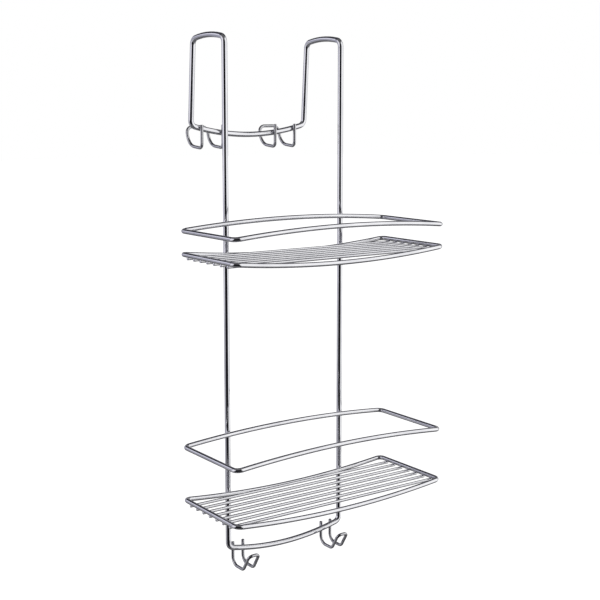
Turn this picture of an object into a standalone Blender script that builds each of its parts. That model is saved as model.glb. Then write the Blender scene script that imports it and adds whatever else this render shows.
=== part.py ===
"""Over-the-door shower caddy in bent, welded and chrome-plated wire.

One thick wire makes the hanger: two posts, two arches that go over the door's top edge, two legs behind
the door and a bow across the legs' and the posts' ends. Four wire rings are welded in front of the posts,
a rail and a shelf ring for each basket, with seven slats under each shelf ring. Two double hooks are
welded behind the bottom bow and two in front of the rear bow.

Frame: X to the right, -Y to the front (the bather's side), +Z up. The origin is the middle of the door's
top edge, where the undersides of the two arches rest.
"""
import math

import bpy
from mathutils import Quaternion, Vector

MM = 0.001
GAP = 0.3 * MM                      # left between wires that are welded to each other

# wire gauges, as diameters
FRAME_WIRE = 6.0 * MM
RING_WIRE = 5.0 * MM
SLAT_WIRE = 3.2 * MM
HOOK_WIRE = 3.5 * MM

# hanger
POST_SPACING = 150.4 * MM           # between the posts' centre lines
ARCH_SPAN = 64.0 * MM               # from a post to its leg, over the door
ARCH_RISE = 3.4 * MM
ARCH_CORNER = 8.0 * MM
LEG_SPLAY = 6.6 * MM                # how far the legs lean away from the door at their ends
REAR_BOW_Z = -92.7 * MM             # where the rear bow's line meets the legs
REAR_BOW_SAG = 10.4 * MM
REAR_BOW_CORNER = 7.5 * MM
BOTTOM_BOW_Z = -548.7 * MM          # where the bottom bow's line meets the posts
BOTTOM_BOW_SAG = 9.2 * MM
BOTTOM_BOW_CORNER = 7.5 * MM

# baskets
RING_WIDTH = 264.0 * MM             # centre line to centre line
RING_DEPTH = 102.7 * MM
RING_CORNER = 6.5 * MM
RAIL_RISE = 6.4 * MM                # the rails' long wires arch up
SHELF_SAG = 7.5 * MM                # the shelf rings' long wires sag
RAIL_TO_SHELF_UPPER = 23.6 * MM
RAIL_TO_SHELF_LOWER = 56.6 * MM
UPPER_RAIL_Z = -197.8 * MM          # a ring's height is that of its two end wires
LOWER_RAIL_Z = -424.8 * MM
SLAT_COUNT = 7
SLAT_LENGTH = 266.0 * MM
SLAT_PITCH = 12.8 * MM

# Double hooks: two strands joined by a rounded bridge at the open end. A bend is its distance out from the
# welded strand, its height above the hook's floor, and its radius.
BOTTOM_HOOK_X = 60.0 * MM
BOTTOM_HOOK_STRANDS = 13.0 * MM
BOTTOM_HOOK_FLOOR_Z = {"left": -570.9 * MM, "right": -572.9 * MM}
BOTTOM_HOOK_HEIGHT = 25.1 * MM      # from the floor to the strands' cut ends
BOTTOM_HOOK_BENDS = ((0, 0, 9.0 * MM), (21.3 * MM, 0, 6.5 * MM))
BOTTOM_HOOK_TIP = (32.8 * MM, 18.5 * MM)
REAR_HOOK_X = {"left": -51.0 * MM, "right": 45.5 * MM}
REAR_HOOK_STRANDS = 26.8 * MM
REAR_HOOK_FLOOR_Z = -117.9 * MM
REAR_HOOK_HEIGHT = 25.4 * MM
REAR_HOOK_BENDS = ((0, 0, 5.0 * MM), (28.6 * MM, 2.5 * MM, 17.0 * MM))
REAR_HOOK_TIP = (33.8 * MM, 23.0 * MM)
BOTTOM_HOOK_BRIDGE = 5.0 * MM        # radius of the bridge's two corners
REAR_HOOK_BRIDGE = 7.5 * MM

ARC_STEP = math.radians(15)
CHROME = (0.62, 0.62, 0.66, 1.0)

POST_X = POST_SPACING / 2
POST_Y = -ARCH_SPAN / 2
LEG_Y = ARCH_SPAN / 2
BOW_LEG_Y = LEG_Y + LEG_SPLAY
ARCH_Z = FRAME_WIRE / 2 - ARCH_RISE           # where an arch's line meets its post
RING_BACK_Y = POST_Y - FRAME_WIRE / 2 - RING_WIRE / 2 - GAP


def clear_scene():
    for thing in list(bpy.data.objects):
        bpy.data.objects.remove(thing, do_unlink=True)


def chrome(name, roughness):
    material = bpy.data.materials.new(name)
    material.use_nodes = True
    shader = material.node_tree.nodes["Principled BSDF"]
    shader.inputs["Base Color"].default_value = CHROME
    shader.inputs["Metallic"].default_value = 1.0
    shader.inputs["Roughness"].default_value = roughness
    return material


def fillet(before, corner, after, radius):
    """Points of the arc that rounds a corner of a wire's centre line."""
    to_before = (before - corner).normalized()
    to_after = (after - corner).normalized()
    turn = math.pi - to_before.angle(to_after)
    axis = to_before.cross(to_after).normalized()
    bisector = (to_before + to_after).normalized()
    centre = corner + bisector * (radius / math.cos(turn / 2))
    start = corner + to_before * (radius * math.tan(turn / 2)) - centre
    steps = max(2, round(turn / ARC_STEP))
    return [centre + Quaternion(axis, -turn * i / steps) @ start for i in range(steps + 1)]


def centre_line(corners):
    """Turns (point, bend radius) pairs into points; a radius of 0 keeps the point itself."""
    points = []
    count = len(corners)
    for i, (corner, radius) in enumerate(corners):
        if radius == 0:
            points.append(corner)
        else:
            points += fillet(corners[i - 1][0], corner, corners[(i + 1) % count][0], radius)
    return points


def bow(start, end, rise, steps):
    """Inner points of a shallow arch between two corners; a negative rise sags."""
    points = []
    for i in range(1, steps):
        t = i / steps
        points.append((start.lerp(end, t) + Vector((0, 0, 4 * rise * t * (1 - t))), 0))
    return points


def wire(name, corners, diameter, sides, closed):
    curve = bpy.data.curves.new(name, "CURVE")
    curve.dimensions = "3D"
    curve.bevel_depth = diameter / 2
    curve.bevel_resolution = (sides - 4) // 2
    curve.use_fill_caps = not closed
    points = centre_line(corners)
    spline = curve.splines.new("POLY")
    spline.points.add(len(points) - 1)
    for spline_point, point in zip(spline.points, points):
        spline_point.co = (*point, 1)
    spline.use_cyclic_u = closed
    thing = bpy.data.objects.new(name, curve)
    bpy.context.collection.objects.link(thing)
    return thing


def hanger_frame():
    """The whole hanger as one endless wire, from the left post's foot up and over the door."""
    corners = []
    for side in (-1, 1):
        x = side * POST_X
        foot = Vector((x, POST_Y, BOTTOM_BOW_Z))
        front = Vector((x, POST_Y, ARCH_Z))
        back = Vector((x, LEG_Y, ARCH_Z))
        heel = Vector((x, BOW_LEG_Y, REAR_BOW_Z))
        run = [(foot, BOTTOM_BOW_CORNER), (front, ARCH_CORNER)]
        run += bow(front, back, ARCH_RISE, 6)
        run += [(back, ARCH_CORNER), (heel, REAR_BOW_CORNER)]
        if side == 1:
            run.reverse()
            corners += bow(corners[-1][0], run[0][0], -REAR_BOW_SAG, 8)
        corners += run
    corners += bow(corners[-1][0], corners[0][0], -BOTTOM_BOW_SAG, 8)
    return wire("hanger_frame", corners, FRAME_WIRE, 12, True)


def ring(name, height, rise):
    """A rectangle with round corners whose long wires arch up or sag."""
    half = RING_WIDTH / 2
    front_y = RING_BACK_Y - RING_DEPTH
    back_left = Vector((-half, RING_BACK_Y, height))
    back_right = Vector((half, RING_BACK_Y, height))
    front_right = Vector((half, front_y, height))
    front_left = Vector((-half, front_y, height))
    corners = [(back_left, RING_CORNER)] + bow(back_left, back_right, rise, 12)
    corners += [(back_right, RING_CORNER), (front_right, RING_CORNER)]
    corners += bow(front_right, front_left, rise, 12) + [(front_left, RING_CORNER)]
    return wire(name, corners, RING_WIRE, 10, True)


def slat(name, number, ring_height):
    """A straight rod under a shelf ring's end wires, counted from the back."""
    middle_y = RING_BACK_Y - RING_DEPTH / 2
    y = middle_y + ((SLAT_COUNT - 1) / 2 - number) * SLAT_PITCH
    z = ring_height - RING_WIRE / 2 - SLAT_WIRE / 2 - GAP
    bpy.ops.mesh.primitive_cylinder_add(vertices=10, radius=SLAT_WIRE / 2, depth=SLAT_LENGTH,
                                        location=(0, y, z), rotation=(0, math.pi / 2, 0))
    rod = bpy.context.object
    rod.name = name
    rod.data.name = name
    rod.data.shade_smooth()
    rod.data.set_sharp_from_angle(angle=math.radians(40))
    return rod


def double_hook(name, centre_x, strands, weld_y, floor_z, height, bends, tip, bridge, forward):
    """Two strands side by side: down from the weld, out along the floor, up to a bridge between them."""
    profile = [(0, height, 0), *bends, (*tip, bridge)]
    corners = []
    for side in (-1, 1):
        x = centre_x + side * strands / 2
        strand = [(Vector((x, weld_y + forward * out, floor_z + up)), bend) for out, up, bend in profile]
        if side == 1:
            strand.reverse()
        corners += strand
    return wire(name, corners, HOOK_WIRE, 8, False)


def build_hooks():
    clearance = FRAME_WIRE / 2 + HOOK_WIRE / 2 + GAP
    hooks = []
    for side, place in ((-1, "left"), (1, "right")):
        hooks.append(double_hook("bottom_hook_" + place, side * BOTTOM_HOOK_X, BOTTOM_HOOK_STRANDS,
                                 POST_Y + clearance, BOTTOM_HOOK_FLOOR_Z[place], BOTTOM_HOOK_HEIGHT,
                                 BOTTOM_HOOK_BENDS, BOTTOM_HOOK_TIP, BOTTOM_HOOK_BRIDGE, -1))
        hooks.append(double_hook("rear_hook_" + place, REAR_HOOK_X[place], REAR_HOOK_STRANDS,
                                 BOW_LEG_Y - clearance, REAR_HOOK_FLOOR_Z, REAR_HOOK_HEIGHT,
                                 REAR_HOOK_BENDS, REAR_HOOK_TIP, REAR_HOOK_BRIDGE, 1))
    return hooks


def build_baskets():
    pieces = []
    for level, rail_z, drop in (("upper", UPPER_RAIL_Z, RAIL_TO_SHELF_UPPER),
                                ("lower", LOWER_RAIL_Z, RAIL_TO_SHELF_LOWER)):
        pieces.append(ring(level + "_rail", rail_z, RAIL_RISE))
        pieces.append(ring(level + "_shelf_ring", rail_z - drop, -SHELF_SAG))
        for number in range(SLAT_COUNT):
            pieces.append(slat(f"{level}_slat_{number + 1}", number, rail_z - drop))
    return pieces


def main():
    clear_scene()
    frame = hanger_frame()
    frame.data.materials.append(chrome("frame_chrome", 0.12))
    for piece in build_baskets():
        piece.data.materials.append(chrome(piece.name + "_chrome", 0.14))
    for piece in build_hooks():
        piece.data.materials.append(chrome(piece.name + "_chrome", 0.16))


main()
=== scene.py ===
# %% [markdown]
# # A chromed wire shower caddy
# The caddy hangs over a shower door. It is steel wire and nothing else: one thick wire bent into a
# hanger, four rings that make two baskets, fourteen slats to stand bottles on and four double hooks,
# all spot-welded and then plated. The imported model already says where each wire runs, as tubes with a
# few flat sides. This lesson bends each wire again, round and smooth, adds the welds, plates them and
# lights them like a small piece of polished metal, which shows nothing but what stands around it.

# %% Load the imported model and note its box
import math

import bpy
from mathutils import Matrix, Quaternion, Vector


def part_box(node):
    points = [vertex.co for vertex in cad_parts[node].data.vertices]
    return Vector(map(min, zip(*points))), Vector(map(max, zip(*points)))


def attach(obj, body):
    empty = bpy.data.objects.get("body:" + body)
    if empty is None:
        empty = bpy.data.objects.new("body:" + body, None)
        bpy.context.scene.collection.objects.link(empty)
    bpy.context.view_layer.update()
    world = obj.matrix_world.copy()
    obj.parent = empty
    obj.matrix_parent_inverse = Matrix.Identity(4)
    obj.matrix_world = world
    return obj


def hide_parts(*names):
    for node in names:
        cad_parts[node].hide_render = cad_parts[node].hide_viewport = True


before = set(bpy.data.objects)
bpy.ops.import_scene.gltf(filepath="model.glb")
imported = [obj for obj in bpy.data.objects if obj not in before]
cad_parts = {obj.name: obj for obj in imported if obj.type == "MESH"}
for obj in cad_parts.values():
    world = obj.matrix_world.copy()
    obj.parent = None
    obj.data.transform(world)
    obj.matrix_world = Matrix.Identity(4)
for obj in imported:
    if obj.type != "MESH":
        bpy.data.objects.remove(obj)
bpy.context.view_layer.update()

# %% [markdown]
# ## The camera and the white ground
# The caddy is seen from the bather's side and its left, from a little above the baskets, through a long
# lens about 1.3 metres away. A camera could be aimed with a constraint; here its place and turn are
# given, as one would note them for a tripod. A little vertical shift keeps the posts nearly upright.

# %% Set the camera on its tripod
CAMERA_PLACE = (-0.7211, -1.0795, -0.0717)
CAMERA_DIP = math.radians(7.655)
CAMERA_AZIMUTH = math.radians(35.289)
CAMERA_LENS = 70.45                     # millimetres
CAMERA_SHIFT = -0.06
SIGHT = 40                              # metres, past the edge of the floor

bpy.ops.object.camera_add(location=CAMERA_PLACE,
                          rotation=(math.pi / 2 - CAMERA_DIP, 0, -CAMERA_AZIMUTH))
camera = bpy.context.object
camera.data.lens = CAMERA_LENS
camera.data.shift_y = CAMERA_SHIFT
camera.data.clip_end = SIGHT
bpy.context.scene.camera = camera
bpy.context.scene.view_settings.view_transform = "Standard"
print("camera at", tuple(round(part, 3) for part in camera.location))

# %% [markdown]
# The ground is a plain white sweep below the caddy, bright enough that its edge can't be told from the
# backdrop. It is hidden from the chrome, whose lower edges would turn white with it. A plane could stay
# one big square; its corners are bevelled round here, so that none of them shows on the horizon.

# %% Lay the floor
FLOOR_Z = -0.85
FLOOR_SIZE = 30.0
FLOOR_ROUNDING = FLOOR_SIZE / 4
MATT = 0.9
WHITE = (1.0, 1.0, 1.0, 1.0)


def nothing_selected():
    if bpy.context.mode != "OBJECT":
        bpy.ops.object.mode_set(mode="OBJECT")
    bpy.ops.object.select_all(action="DESELECT")


def new_material(name):
    material = bpy.data.materials.new(name)
    material.use_nodes = True
    nodes = material.node_tree.nodes
    return material, nodes, material.node_tree.links, nodes["Principled BSDF"]


def floor():
    nothing_selected()
    bpy.ops.mesh.primitive_plane_add(size=FLOOR_SIZE, location=(0, 0, FLOOR_Z))
    ground = bpy.context.object
    ground.name = ground.data.name = "studio_floor"
    bpy.ops.object.mode_set(mode="EDIT")
    bpy.ops.mesh.bevel(offset=FLOOR_ROUNDING, segments=12, affect="VERTICES")
    nothing_selected()
    material, _, _, shader = new_material("white_sweep")
    shader.inputs["Roughness"].default_value = MATT
    shader.inputs["Base Color"].default_value = WHITE
    shader.inputs["Emission Color"].default_value = WHITE
    shader.inputs["Emission Strength"].default_value = 1.0
    ground.data.materials.append(material)
    ground.visible_glossy = False
    print("floor", FLOOR_SIZE, "m wide at", FLOOR_Z)


floor()

# %% [markdown]
# ## What the chrome sees
# Polished wire has hardly a colour of its own. Each wire shows the whole room squeezed into a few
# narrow stripes: an upright wire shows what stands round it at its own height, and a level wire shows
# an arc from below the caddy over its top to the wall behind. So the studio is built the way cutlery is
# lit, from white boards and black flags round the object. The room could be a painted sky; boards set
# by azimuth and height are easy to move one at a time. They are curved round the caddy and overlap a
# little, with soft edges. Azimuth is counted in degrees to the right from straight in front.

# %% A grey room
ROOM_GREY = (0.13, 0.13, 0.135, 1.0)


def grey_room():
    """The camera sees a white backdrop, and every reflection sees a dim grey room."""
    world = bpy.data.worlds.new("studio")
    bpy.context.scene.world = world
    world.use_nodes = True
    nodes, links = world.node_tree.nodes, world.node_tree.links
    output = nodes["World Output"]
    backdrop, room = nodes["Background"], nodes.new("ShaderNodeBackground")
    backdrop.inputs["Color"].default_value = WHITE
    room.inputs["Color"].default_value = ROOM_GREY
    path, mix = nodes.new("ShaderNodeLightPath"), nodes.new("ShaderNodeMixShader")
    links.new(path.outputs["Is Camera Ray"], mix.inputs["Fac"])
    links.new(room.outputs[0], mix.inputs[1])
    links.new(backdrop.outputs[0], mix.inputs[2])
    links.new(mix.outputs[0], output.inputs["Surface"])


grey_room()
print("room grey", ROOM_GREY[:3])

# %% A glow with soft edges
SOFT_EDGE = 0.11                        # of a board's width and height


def soft_glow(name, colour):
    """An even glow that fades to nothing along the board's edges, as cloth over a frame does."""
    material, nodes, links, shader = new_material(name)
    nodes.remove(shader)
    across_up = nodes.new("ShaderNodeSeparateXYZ")
    links.new(nodes.new("ShaderNodeUVMap").outputs["UV"], across_up.inputs["Vector"])
    fades = []
    for axis in ("X", "Y"):
        for edge in (0, 1):
            fade = nodes.new("ShaderNodeMapRange")
            fade.interpolation_type = "SMOOTHSTEP"
            fade.inputs["From Min"].default_value = edge
            fade.inputs["From Max"].default_value = abs(edge - SOFT_EDGE)
            links.new(across_up.outputs[axis], fade.inputs["Value"])
            fades.append(fade.outputs["Result"])
    mask = fades[0]
    for fade in fades[1:]:
        product = nodes.new("ShaderNodeMath")
        product.operation = "MULTIPLY"
        links.new(mask, product.inputs[0])
        links.new(fade, product.inputs[1])
        mask = product.outputs["Value"]
    glow = nodes.new("ShaderNodeEmission")
    glow.inputs["Color"].default_value = (*colour, 1)
    mix = nodes.new("ShaderNodeMixShader")
    links.new(mask, mix.inputs["Fac"])
    links.new(nodes.new("ShaderNodeBsdfTransparent").outputs["BSDF"], mix.inputs[1])
    links.new(glow.outputs["Emission"], mix.inputs[2])
    links.new(mix.outputs["Shader"], nodes["Material Output"].inputs["Surface"])
    return material


print("a glow fades over", SOFT_EDGE, "of its board")

# %% [markdown]
# A board starts as a small flat grid, whose UV map the glow reads, and is bent round the caddy point by
# point. The camera doesn't see it, and it casts no light on anything dull: it is there for the chrome.

# %% Bend a board round the caddy
BOARD_DISTANCE = 6.0                    # a nearer one covers a farther one
BOARD_AIM = Vector((0, 0, -0.28))       # the middle of the caddy
BOARD_GRID = 8


def board(name, azimuths, heights, colour, distance=BOARD_DISTANCE):
    """A glowing board, or a dark flag, curved round the caddy between two azimuths and two heights.

    Both are in degrees, seen from the middle of the caddy.
    """
    nothing_selected()
    bpy.ops.mesh.primitive_grid_add(x_subdivisions=BOARD_GRID, y_subdivisions=BOARD_GRID, size=1)
    card = bpy.context.object
    card.name = card.data.name = "board_" + name
    for vertex in card.data.vertices:
        across, up = vertex.co.x + 0.5, vertex.co.y + 0.5
        azimuth = math.radians(azimuths[0] + across * (azimuths[1] - azimuths[0]))
        height = math.radians(heights[0] + up * (heights[1] - heights[0]))
        flat = Vector((math.sin(azimuth), -math.cos(azimuth), 0))
        vertex.co = BOARD_AIM + (flat * math.cos(height) + Vector((0, 0, math.sin(height)))) * distance
    card.data.materials.append(soft_glow("glow_" + name, colour))
    card.visible_camera = False
    card.visible_diffuse = False
    card.visible_shadow = False
    print(card.name, "azimuth", azimuths, "height", heights)


print("boards stand", BOARD_DISTANCE, "m round", tuple(round(part, 2) for part in BOARD_AIM))

# %% [markdown]
# Two white boxes, left_box and right_box, make the bright stripes, and a black flag between them makes
# the dark core of every upright wire. Lower, the flag is wider. What stands behind the caddy is greyer:
# it shows in the lower halves of the arches and in the rings' end wires. The flag over the back gives
# the long wires their dark upper edges. Each row gives two azimuths, two heights, a colour and, for
# some, a distance of their own, so that it is clear which board covers which.

# %% Set up the boards
board("left_box", (-134, -70), (-14, 40), (0.92, 0.91, 0.97))
board("left_low", (-156, -68), (-48, -5), (0.46, 0.46, 0.49), 6.1)
board("dark_side", (-82, 5), (-12, 38), (0.010, 0.010, 0.013), 5.8)
board("dark_side_low", (-100, 23), (-50, -1), (0.012, 0.012, 0.015), 5.6)
board("right_box", (-2, 88), (-33, 58), (1.02, 1.02, 1.02), 5.9)
board("right_wall", (52, 126), (-32, 30), (0.46, 0.46, 0.47), 6.1)
board("backdrop", (108, 174), (-20, 20), (0.26, 0.26, 0.27))
board("back_left_box", (204, 220), (7, 32), (0.80, 0.80, 0.90))
board("back_left_wall", (158, 240), (-24, 25), (0.34, 0.34, 0.41), 6.1)
board("back_top_flag", (70, 244), (18, 74), (0.05, 0.05, 0.06), 6.2)

# %% [markdown]
# ## Finishes
# Bright chrome over a nickel coat is almost a mirror with a faint blue cast. Close up, a plated wire
# still shows how it was made: fine lines drawn along it by the die, a soft ripple where the plating
# built up, and a dull breath here and there from handling. The drawn lines must follow the wire round
# its bends, so each wire carries an attribute, straight_wire, that holds where each point lay before
# the wire was bent. All this could be painted; noise at four sizes does it with no images.

# %% Noise, its range, and bumps made of it
NOISE_MIDDLE = (0.3, 0.7)               # most of a noise lies between these
BUMP_STRENGTH = 0.15


def noise(nodes, links, vector, scale, detail):
    texture = nodes.new("ShaderNodeTexNoise")
    texture.inputs["Scale"].default_value = scale
    texture.inputs["Detail"].default_value = detail
    links.new(vector, texture.inputs["Vector"])
    return texture.outputs["Fac"]


def between(nodes, links, value, lowest, highest):
    """Spreads the middle of a noise over a range."""
    spread = nodes.new("ShaderNodeMapRange")
    spread.inputs["From Min"].default_value = NOISE_MIDDLE[0]
    spread.inputs["From Max"].default_value = NOISE_MIDDLE[1]
    spread.inputs["To Min"].default_value = lowest
    spread.inputs["To Max"].default_value = highest
    links.new(value, spread.inputs["Value"])
    return spread.outputs["Result"]


def bump(nodes, links, height, distance, before):
    """Adds bumps, a distance in metres high, to the normal that came before, if there is one."""
    node = nodes.new("ShaderNodeBump")
    node.inputs["Strength"].default_value = BUMP_STRENGTH
    node.inputs["Distance"].default_value = distance
    links.new(height, node.inputs["Height"])
    if before:
        links.new(before, node.inputs["Normal"])
    return node.outputs["Normal"]


print("noise is spread from", NOISE_MIDDLE, "and bumps have a strength of", BUMP_STRENGTH)

# %% [markdown]
# A noise's size is given as features per metre and its detail as a number of octaves. The tint drifts
# over centimetres, the dullness over one centimetre and the ripple over a few millimetres. The drawn
# lines are finer than half a millimetre across the wire, and thirty times longer along it.

# %% Chrome, from noise at four sizes
CHROME_BRIGHT = (0.90, 0.90, 0.925)
CHROME_DEEP = (0.78, 0.78, 0.815)
HOOK_TONE = 0.72                     # the hooks' chrome is made darker than the rest by this factor
TINT_NOISE = (38, 3)                    # features per metre, and detail
HANDLING_NOISE = (95, 4)
RIPPLE_NOISE = (420, 2)
RIPPLE_HEIGHT = 0.00003
DRAWN_NOISE = (2600, 3)
DRAWN_HEIGHT = 0.00001
DRAWN_STRETCH = (0.03, 1, 1)
DRAWN_ATTRIBUTE = "straight_wire"


def chrome(name, dullness, drawn_lines, tone=1.0):
    """Plated wire; dullness is its roughness at its brightest and at its dullest."""
    material, nodes, links, shader = new_material(name)
    place = nodes.new("ShaderNodeTexCoord").outputs["Object"]
    tint = nodes.new("ShaderNodeMix")
    tint.data_type = "RGBA"
    tint.inputs["A"].default_value = (*(part * tone for part in CHROME_DEEP), 1)
    tint.inputs["B"].default_value = (*(part * tone for part in CHROME_BRIGHT), 1)
    cloud = between(nodes, links, noise(nodes, links, place, *TINT_NOISE), 0, 1)
    links.new(cloud, tint.inputs["Factor"])
    links.new(tint.outputs["Result"], shader.inputs["Base Color"])
    handling = noise(nodes, links, place, *HANDLING_NOISE)
    links.new(between(nodes, links, handling, *dullness), shader.inputs["Roughness"])
    normal = bump(nodes, links, noise(nodes, links, place, *RIPPLE_NOISE), RIPPLE_HEIGHT, None)
    if drawn_lines:
        straight = nodes.new("ShaderNodeAttribute")
        straight.attribute_name = DRAWN_ATTRIBUTE
        drawn_out = nodes.new("ShaderNodeMapping")
        drawn_out.inputs["Scale"].default_value = DRAWN_STRETCH
        links.new(straight.outputs["Vector"], drawn_out.inputs["Vector"])
        lines = noise(nodes, links, drawn_out.outputs["Vector"], *DRAWN_NOISE)
        normal = bump(nodes, links, lines, DRAWN_HEIGHT, normal)
    links.new(normal, shader.inputs["Normal"])
    shader.inputs["Metallic"].default_value = 1
    return material


print("chrome goes from", CHROME_DEEP, "to", CHROME_BRIGHT)

# %% [markdown]
# The thick frame wire is polished best, because it is easiest to reach. The rings, the slats and the
# hooks are a shade duller, and the welds were never polished at all.

# %% Plate the four gauges and the welds
finishes = {
    "frame_wire": chrome("frame_wire_chrome", (0.05, 0.10), True),
    "ring_wire": chrome("ring_wire_chrome", (0.07, 0.13), True),
    "slat_wire": chrome("slat_wire_chrome", (0.07, 0.13), True),
    "hook_wire": chrome("hook_wire_chrome", (0.08, 0.15), True, HOOK_TONE),
}
weld_finish = chrome("weld_chrome", (0.16, 0.30), False)
print("finishes:", ", ".join(finishes), "and the welds")

# %% [markdown]
# ## The wire bender
# A wire bender feeds straight wire from a coil, turns it round a pin, and feeds again. The same three
# moves work on a mesh: a circle of the wire's section is extruded for a feed and spun for a bend. A
# curve with a round bevel would be quicker to draw, but a spin gives a true bend of a known radius, and
# the fed length is known at each ring of points, which the drawn lines need.

# %% Feed and bend
SIDES = 28                              # round one wire
BEND_STEP = math.radians(7)
BOW_STEP = 0.007                        # along a shallow bow
FEWEST_STEPS = 3
HOLD = 0.0004                           # an extra ring of points this near both ends of a straight part
UP = Vector((0, 0, 1))


class Bender:
    """A wire under way: its end's place and heading, and the length fed at each ring of points."""

    def __init__(self, name, place, heading, gauge):
        nothing_selected()
        bpy.ops.mesh.primitive_circle_add(vertices=SIDES, radius=gauge / 2, location=place,
                                          rotation=heading.to_track_quat("Z", "Y").to_euler())
        self.wire = bpy.context.object
        self.wire.name = self.wire.data.name = name
        bpy.ops.object.transform_apply(location=True, rotation=True, scale=True)
        bpy.ops.object.mode_set(mode="EDIT")
        bpy.ops.mesh.select_all(action="SELECT")
        self.place, self.heading, self.gauge = place.copy(), heading, gauge
        self.fed = [0.0]

    def feed(self, length):
        bpy.ops.mesh.extrude_region_move(TRANSFORM_OT_translate={"value": self.heading * length})
        self.place = self.place + self.heading * length
        self.fed.append(self.fed[-1] + length)

    def bend(self, heading, radius):
        turn = self.heading.angle(heading)
        axis = self.heading.cross(heading).normalized()
        pin = self.place + axis.cross(self.heading) * radius
        steps = max(FEWEST_STEPS, round(turn / BEND_STEP), round(turn * radius / BOW_STEP))
        bpy.ops.mesh.spin(steps=steps, angle=-turn, center=pin, axis=axis, use_auto_merge=False)
        start = self.fed[-1]
        self.fed += [start + turn * radius * i / steps for i in range(1, steps + 1)]
        self.place = pin + Quaternion(axis, turn) @ (self.place - pin)
        self.heading = heading


print("a bend turns", round(math.degrees(BEND_STEP)), "degrees a step")

# %% [markdown]
# A shop drawing of a bent wire gives its sharp corners and the radius at each. A shallow bow is drawn
# between two corners as a rise. The headings at a bow's ends follow from the rise: if its corners are
# 2h apart and their bends reach r along it, the slope's half angle has the tangent rise / (h + r). The
# bends' reach depends on the slope again, so it is worked out a few times over.

# %% Headings from corners
PLAN_ROUNDS = 4
EXAMPLE = {"length": 264, "rise": 6.4, "radius": 6.5}


def leave_and_arrive(here, there, rise, reach):
    """The headings at both ends of a stretch that bows up by rise."""
    along = (there - here).normalized()
    slope = 2 * math.atan(rise / ((there - here).length / 2 + reach))
    level, upward = along * math.cos(slope), UP * math.sin(slope)
    return level + upward, level - upward


def plan_bends(corners):
    """For (place, radius, rise of what follows): each stretch's two headings, and each bend's reach."""
    reaches = [radius for _, radius, _ in corners]
    for _ in range(PLAN_ROUNDS):
        headings = []
        for i, (place, _, rise) in enumerate(corners):
            following = corners[(i + 1) % len(corners)][0]
            headings.append(leave_and_arrive(place, following, rise, reaches[i]))
        turns = [headings[i - 1][1].angle(headings[i][0]) for i in range(len(corners))]
        reaches = [radius * math.tan(turn / 2) for (_, radius, _), turn in zip(corners, turns)]
    return headings, reaches


def stretch(bender, corners, i, headings, reaches):
    """From the bend at corner i to the next one, straight or bowed."""
    there = corners[(i + 1) % len(corners)][0]
    leave, arrive = headings[i]
    end = there - arrive * reaches[(i + 1) % len(corners)]
    length = (end - bender.place).length
    if corners[i][2] == 0:
        for part in (HOLD, length - 2 * HOLD, HOLD):
            bender.feed(part)
    else:
        bender.bend(arrive, length / 2 / math.sin(leave.angle(arrive) / 2))


example_slope = 2 * math.atan(EXAMPLE["rise"] / (EXAMPLE["length"] / 2 + EXAMPLE["radius"]))
print("a wire", EXAMPLE["length"], "mm long that rises", EXAMPLE["rise"], "mm leaves at",
      round(math.degrees(example_slope), 1), "degrees")

# %% [markdown]
# Each finished wire gets its attribute before the ends meet, because merging them changes the order of
# the points. It is kept on face corners, so that where a closed wire's ends meet, one side can read the
# start of the wire and the other its full length.

# %% Mark where each point lay on the straight wire
def mark_straight_wire(bender):
    nothing_selected()
    mesh = bender.wire.data
    straight = mesh.attributes.new(DRAWN_ATTRIBUTE, "FLOAT_VECTOR", "CORNER")
    values = []
    for loop in mesh.loops:
        ring, side = divmod(loop.vertex_index, SIDES)
        around = 2 * math.pi * side / SIDES
        radius = bender.gauge / 2
        values += (bender.fed[ring], radius * math.cos(around), radius * math.sin(around))
    straight.data.foreach_set("vector", values)


print("each wire will carry", DRAWN_ATTRIBUTE)

# %% [markdown]
# A closed wire is butt-welded and ground flush, so its last ring of points simply merges with its
# first. An open wire is cropped in shears: the cut is nearly flat, with a rim that the plating rounds
# off.

# %% Join or crop the ends
CROP_RIM = 0.12                         # these four are parts of the gauge
CROP_CROWN = 0.07
CROP_MIDDLE = 0.2
CROP_STEPS = ((CROP_RIM / 3, CROP_CROWN * 0.6), (CROP_RIM, CROP_CROWN * 0.4), (CROP_MIDDLE, 0))
MERGE_DISTANCE = 0.00003


def join_ends(bender):
    bpy.ops.object.mode_set(mode="EDIT")
    bpy.ops.mesh.select_all(action="SELECT")
    bpy.ops.mesh.remove_doubles(threshold=MERGE_DISTANCE)
    nothing_selected()


def crop_end(wire, ring, gauge):
    """Closes one end with a rounded rim and a slight crown."""
    for vertex in wire.data.vertices:
        vertex.select = vertex.index // SIDES == ring
    bpy.ops.object.mode_set(mode="EDIT")
    bpy.ops.mesh.edge_face_add()
    bpy.ops.mesh.normals_make_consistent(inside=False)
    for inward, outward in CROP_STEPS:
        bpy.ops.mesh.inset(thickness=gauge * inward, depth=gauge * outward)
    bpy.ops.mesh.poke()
    nothing_selected()


print("a cropped end stands out by", CROP_CROWN, "of the gauge")

# %% [markdown]
# Every wire is finished the same way: its faces are turned outwards and shaded smooth, it gets its
# plating, it rides on the caddy's one body, and its slot tells which finish of the record it wears. One
# function does this, and one bends a wire from end to end.

# %% Finish a wire, and bend one from its corners
SMOOTH_BELOW = math.radians(50)


def finish_wire(wire, slot_name):
    nothing_selected()
    wire.select_set(True)
    bpy.context.view_layer.objects.active = wire
    bpy.ops.object.mode_set(mode="EDIT")
    bpy.ops.mesh.select_all(action="SELECT")
    bpy.ops.mesh.normals_make_consistent(inside=False)
    bpy.ops.object.mode_set(mode="OBJECT")
    bpy.ops.object.shade_smooth_by_angle(angle=SMOOTH_BELOW)
    wire.data.materials.append(finishes[slot_name])
    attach(wire, "root")
    nothing_selected()


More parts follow.
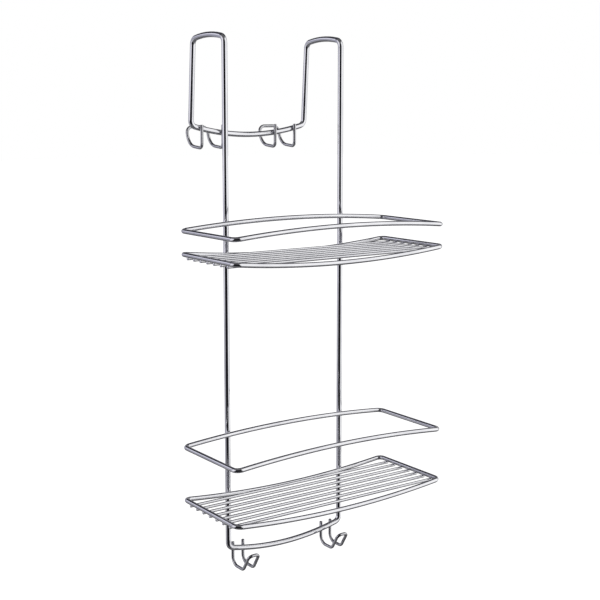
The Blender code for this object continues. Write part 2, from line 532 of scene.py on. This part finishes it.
def bend_wire(name, corners, gauge, closed):
    """Bends one wire from its corners; a closed one starts halfway along its first, straight stretch."""
    headings, reaches = plan_bends(corners)
    start = corners[0][0].copy()
    if closed:
        start = start.lerp(corners[1][0], 0.5)
    bender = Bender(name, start, headings[0][0], gauge)
    for i in range(len(corners) - (not closed)):
        stretch(bender, corners, i, headings, reaches)
        following = (i + 1) % len(corners)
        if reaches[following] > 0:
            bender.bend(headings[following][0], corners[following][1])
    if closed:
        bender.feed((start - bender.place).length)
    mark_straight_wire(bender)
    if closed:
        join_ends(bender)
    else:
        crop_end(bender.wire, len(bender.fed) - 1, gauge)
        crop_end(bender.wire, 0, gauge)
    print(name, "took", round(bender.fed[-1], 3), "m of", round(gauge * 1000, 1), "mm wire")
    return bender.wire


print("wires are smooth where two faces meet at less than", round(math.degrees(SMOOTH_BELOW)), "degrees")

# %% [markdown]
# ## Where the wires run
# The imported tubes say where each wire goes. A wire's centre line lies half a gauge inside its tube's
# box on every side, so most corners can be read from the boxes. Only bend radii, the rises of the bows
# and the few measures that no box shows are written here.

# %% The gauges, and the box of a wire's centre line
MM = 0.001
FRAME_GAUGE = 6.0 * MM
RING_GAUGE = 5.0 * MM
SLAT_GAUGE = 3.2 * MM
HOOK_GAUGE = 3.5 * MM


def centre_box(node, gauge):
    lowest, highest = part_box(node)
    half = Vector((gauge, gauge, gauge)) / 2
    return lowest + half, highest - half


print("the hanger's centre line runs in", *centre_box("hanger_frame", FRAME_GAUGE))

# %% [markdown]
# ## The hanger
# One thick wire does all the carrying. It goes up the left post, over the door in a flat arch, down
# behind the door to a bow, and back the same way on the right, and a second bow joins the posts' feet.
# It could be two hooks and two bows, but the real one has no ends to see, so it is bent here as one
# closed wire. The legs lean a little away from the door, which lets them spring over its edge.

# %% Bend the hanger
ARCH_RISE = 3.4 * MM
ARCH_CORNER = 8.0 * MM
LEG_SPLAY = 6.6 * MM
REAR_BOW_Z = -92.7 * MM
REAR_BOW_SAG = 10.4 * MM
BOTTOM_BOW_SAG = 9.2 * MM
BOW_CORNER = 7.5 * MM

frame_low, frame_high = centre_box("hanger_frame", FRAME_GAUGE)
POST_X = frame_high.x
POST_Y = frame_low.y
LEG_HEEL_Y = frame_high.y
LEG_TOP_Y = LEG_HEEL_Y - LEG_SPLAY
ARCH_Z = frame_high.z - ARCH_RISE
BOTTOM_BOW_Z = frame_low.z + BOTTOM_BOW_SAG


def hanger():
    corners = []
    for side in (-1, 1):
        x = side * POST_X
        run = [(Vector((x, POST_Y, BOTTOM_BOW_Z)), BOW_CORNER),
               (Vector((x, POST_Y, ARCH_Z)), ARCH_CORNER),
               (Vector((x, LEG_TOP_Y, ARCH_Z)), ARCH_CORNER),
               (Vector((x, LEG_HEEL_Y, REAR_BOW_Z)), BOW_CORNER)]
        if side == 1:
            run.reverse()
        corners += run
    rises = (0, ARCH_RISE, 0, -REAR_BOW_SAG, 0, ARCH_RISE, 0, -BOTTOM_BOW_SAG)
    corners = [(place, radius, rise) for (place, radius), rise in zip(corners, rises)]
    wire = bend_wire("hanger_wire", corners, FRAME_GAUGE, True)
    finish_wire(wire, "frame_wire")
    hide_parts("hanger_frame")


hanger()

# %% [markdown]
# ## The rings
# Each basket has a rail that arches up at the front and back and a shelf ring that sags, both
# rectangles with tight corners. One function bends all four, because a rail is a shelf ring the other
# way up: the box of the tube tells how high its ends lie and how far its long wires rise or sag.

# %% Bend the four rings
RING_CORNER = 6.5 * MM
LEVELS = ("upper", "lower")
rings = {}


def ring(node, rises):
    lowest, highest = centre_box(node, RING_GAUGE)
    rise = highest.z - lowest.z
    z = lowest.z
    if not rises:
        rise = -rise
        z = highest.z
    half, front, back = highest.x, lowest.y, highest.y
    outline = ((-half, front, 0), (-half, back, rise), (half, back, 0), (half, front, rise))
    corners = [(Vector((x, y, z)), RING_CORNER, bow) for x, y, bow in outline]
    wire = bend_wire(node + "_wire", corners, RING_GAUGE, True)
    finish_wire(wire, "ring_wire")
    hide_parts(node)
    rings[node] = {"half": half, "back": back, "z": z, "rise": rise}


for level in LEVELS:
    ring(level + "_rail", True)
    ring(level + "_shelf_ring", False)

# %% [markdown]
# ## The slats
# Seven straight rods lie under each shelf ring's end wires, and their cut ends show just under those
# wires. They are the same rod fourteen times, so one is fed and cropped, and the rest are copies with
# meshes of their own, moved to their places and left with those places in the mesh.

# %% Feed one slat and copy it
SLATS = 7
CROP_LENGTH = SLAT_GAUGE * CROP_CROWN   # a crown stands out past the cut
PACKED_GAP = 0.3 * MM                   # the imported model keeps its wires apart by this
SLAT_SINK = 0.5 * MM                    # and the electrodes press a slat into its ring by this


def slat_place(node):
    """Where the middle of a slat goes, pressed up into its ring."""
    lowest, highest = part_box(node)
    return 0, (lowest.y + highest.y) / 2, (lowest.z + highest.z) / 2 + PACKED_GAP + SLAT_SINK


def one_slat():
    _, highest = centre_box("upper_slat_1", SLAT_GAUGE)
    half = highest.x + SLAT_GAUGE / 2 - CROP_LENGTH
    ends = [(Vector((-half, 0, 0)), 0, 0), (Vector((half, 0, 0)), 0, 0)]
    rod = bend_wire("slat_pattern", ends, SLAT_GAUGE, False)
    finish_wire(rod, "slat_wire")
    return rod


def copy_slats(pattern):
    for level in LEVELS:
        for number in range(1, SLATS + 1):
            node = f"{level}_slat_{number}"
            rod = pattern.copy()
            rod.data = pattern.data.copy()
            rod.name = rod.data.name = node + "_wire"
            bpy.context.collection.objects.link(rod)
            nothing_selected()
            rod.select_set(True)
            bpy.context.view_layer.objects.active = rod
            rod.location = slat_place(node)
            bpy.ops.object.transform_apply(location=True, rotation=True, scale=True)
            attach(rod, "root")
            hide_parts(node)
    nothing_selected()
    bpy.data.objects.remove(pattern, do_unlink=True)
    print("copied", SLATS * len(LEVELS), "slats")


copy_slats(one_slat())

# %% [markdown]
# ## The double hooks
# A hook is one thin wire bent into two strands side by side, with a rounded bridge at the open end in
# place of two sharp cut ends. Seen from the side, a strand comes down from its weld, runs out along the
# hook's floor and rises to the tip. The rear ones have a rounder floor than the bottom ones. The second
# of a kind could be a copy of the first, but they were welded by hand, not quite level or centred, so
# each is bent to its own box.

# %% Bend the four hooks
# Each row is how far out from the weld, how high above the hook's floor, and the bend's radius, in
# millimetres. The first is the cut end, and the last is a corner of the bridge.
BOTTOM_PROFILE = ((0, 25.1, 0), (0, 0, 9.0), (21.3, 0, 6.5), (32.8, 18.5, 5.0))
REAR_PROFILE = ((0, 25.4, 0), (0, 0, 5.0), (28.6, 2.5, 17.0), (33.8, 23.0, 7.5))
TO_THE_BATHER, AWAY = -1, 1
hooks = {}


def double_hook(node, profile, forward):
    lowest, highest = centre_box(node, HOOK_GAUGE)
    weld_y = highest.y if forward == TO_THE_BATHER else lowest.y
    corners = []
    for x in (lowest.x, highest.x):
        strand = [(Vector((x, weld_y + forward * out * MM, lowest.z + up * MM)), radius * MM, 0)
                  for out, up, radius in profile]
        if x == highest.x:
            strand.reverse()
        corners += strand
    wire = bend_wire(node + "_wire", corners, HOOK_GAUGE, False)
    finish_wire(wire, "hook_wire")
    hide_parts(node)
    hooks[node] = {"strands": (lowest.x, highest.x), "weld_y": weld_y}


for side in ("left", "right"):
    double_hook("bottom_hook_" + side, BOTTOM_PROFILE, TO_THE_BATHER)
    double_hook("rear_hook_" + side, REAR_PROFILE, AWAY)

# %% [markdown]
# ## The welds
# Where two wires cross they were pressed between electrodes until the spot melted, and under the chrome
# that leaves a small waisted nugget with a fillet running up each wire. A boolean union would join the
# wires but give no fillet. One nugget is turned as a spool, narrow in the middle and flared at both
# ends, and every weld is a copy, scaled to the thinner wire and laid from one centre line to the other.
# The welds of one piece are joined into one object.

# %% Turn one nugget
# A height along the spool and the spool's radius there, for a wire whose radius is 1.
NUGGET_STEPS = ((-0.66, 0.86), (-0.46, 0.80), (-0.26, 0.71), (-0.12, 0.66), (0.0, 0.645),
                (0.12, 0.66), (0.26, 0.71), (0.46, 0.80), (0.66, 0.86))
NUGGET_SIDES = 20


def nugget():
    """A spool whose waist is at the origin and whose axis is Z."""
    nothing_selected()
    height, radius = NUGGET_STEPS[0]
    bpy.ops.mesh.primitive_circle_add(vertices=NUGGET_SIDES, radius=radius, location=(0, 0, height),
                                      fill_type="NGON")
    spool = bpy.context.object
    bpy.ops.object.transform_apply(location=True, rotation=True, scale=True)
    bpy.ops.object.mode_set(mode="EDIT")
    bpy.ops.mesh.select_all(action="SELECT")
    for (below, narrow), (above, wide) in zip(NUGGET_STEPS, NUGGET_STEPS[1:]):
        bpy.ops.mesh.extrude_region_move(TRANSFORM_OT_translate={"value": (0, 0, above - below)})
        bpy.ops.transform.resize(value=(wide / narrow, wide / narrow, 1), center_override=(0, 0, above))
    bpy.ops.mesh.select_all(action="SELECT")
    bpy.ops.mesh.normals_make_consistent(inside=False)
    nothing_selected()
    return spool


weld_pattern = nugget()
print("a nugget has", len(weld_pattern.data.polygons), "faces")

# %% [markdown]
# A weld spot is given as two points on centre lines, first the thicker wire's and then the thinner's.
# The spool's waist goes where the two wires meet, or half a gap away from the thinner one; a negative
# gap is an overlap.

# %% Lay nuggets and join them
WELD_SMOOTH_BELOW = math.radians(60)


def weld(name, spots, radius, gap):
    """One object made of a nugget for each spot, between wires that are a gap apart."""
    nothing_selected()
    made = []
    for thick, thin in spots:
        spot = weld_pattern.copy()
        spot.data = weld_pattern.data.copy()
        bpy.context.collection.objects.link(spot)
        spot.rotation_euler = (thin - thick).to_track_quat("Z", "Y").to_euler()
        spot.location = thin - (thin - thick).normalized() * (radius + gap / 2)
        spot.scale = (radius, radius, radius)
        spot.select_set(True)
        made.append(spot)
    bpy.context.view_layer.objects.active = made[0]
    bpy.ops.object.join()
    bpy.ops.object.transform_apply(location=True, rotation=True, scale=True)
    bpy.ops.object.shade_smooth_by_angle(angle=WELD_SMOOTH_BELOW)
    joined = bpy.context.object
    joined.name = joined.data.name = name
    joined.data.materials.append(weld_finish)
    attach(joined, "root")
    nothing_selected()
    print(name, len(spots), "spots")


print("nuggets are smooth below", round(math.degrees(WELD_SMOOTH_BELOW)), "degrees")

# %% [markdown]
# The rings are welded where they cross the posts, the slats where they cross the rings' end wires, and
# the hooks where their strands cross the bows. A ring's back wire is bowed too, so a spot's height on
# a ring or a hook follows a bow.

# %% Weld the rings, the slats and the hooks
def bow_height(x, half, rise):
    """How far a bowed wire has risen at x, from its ends' height."""
    return rise * (1 - (x / half) ** 2)


def weld_rings():
    for node, line in rings.items():
        spots = []
        for x in (-POST_X, POST_X):
            z = line["z"] + bow_height(x, line["half"], line["rise"])
            spots.append((Vector((x, POST_Y, z)), Vector((x, line["back"], z))))
        weld(node + "_welds", spots, RING_GAUGE / 2, PACKED_GAP)


def weld_slats():
    for level in LEVELS:
        line = rings[level + "_shelf_ring"]
        spots = []
        for number in range(1, SLATS + 1):
            _, y, z = slat_place(f"{level}_slat_{number}")
            for x in (-line["half"], line["half"]):
                spots.append((Vector((x, y, line["z"])), Vector((x, y, z))))
        weld(level + "_slat_welds", spots, SLAT_GAUGE / 2, -SLAT_SINK)


def weld_hooks():
    for node, hook in hooks.items():
        bow_y, bow_z, sag = POST_Y, BOTTOM_BOW_Z, BOTTOM_BOW_SAG
        if node.startswith("rear"):
            bow_y, bow_z, sag = LEG_HEEL_Y, REAR_BOW_Z, REAR_BOW_SAG
        spots = []
        for x in hook["strands"]:
            z = bow_z + bow_height(x, POST_X, -sag)
            spots.append((Vector((x, bow_y, z)), Vector((x, hook["weld_y"], z))))
        weld(node + "_welds", spots, HOOK_GAUGE / 2, PACKED_GAP)


weld_rings()
weld_slats()
weld_hooks()
bpy.data.objects.remove(weld_pattern, do_unlink=True)
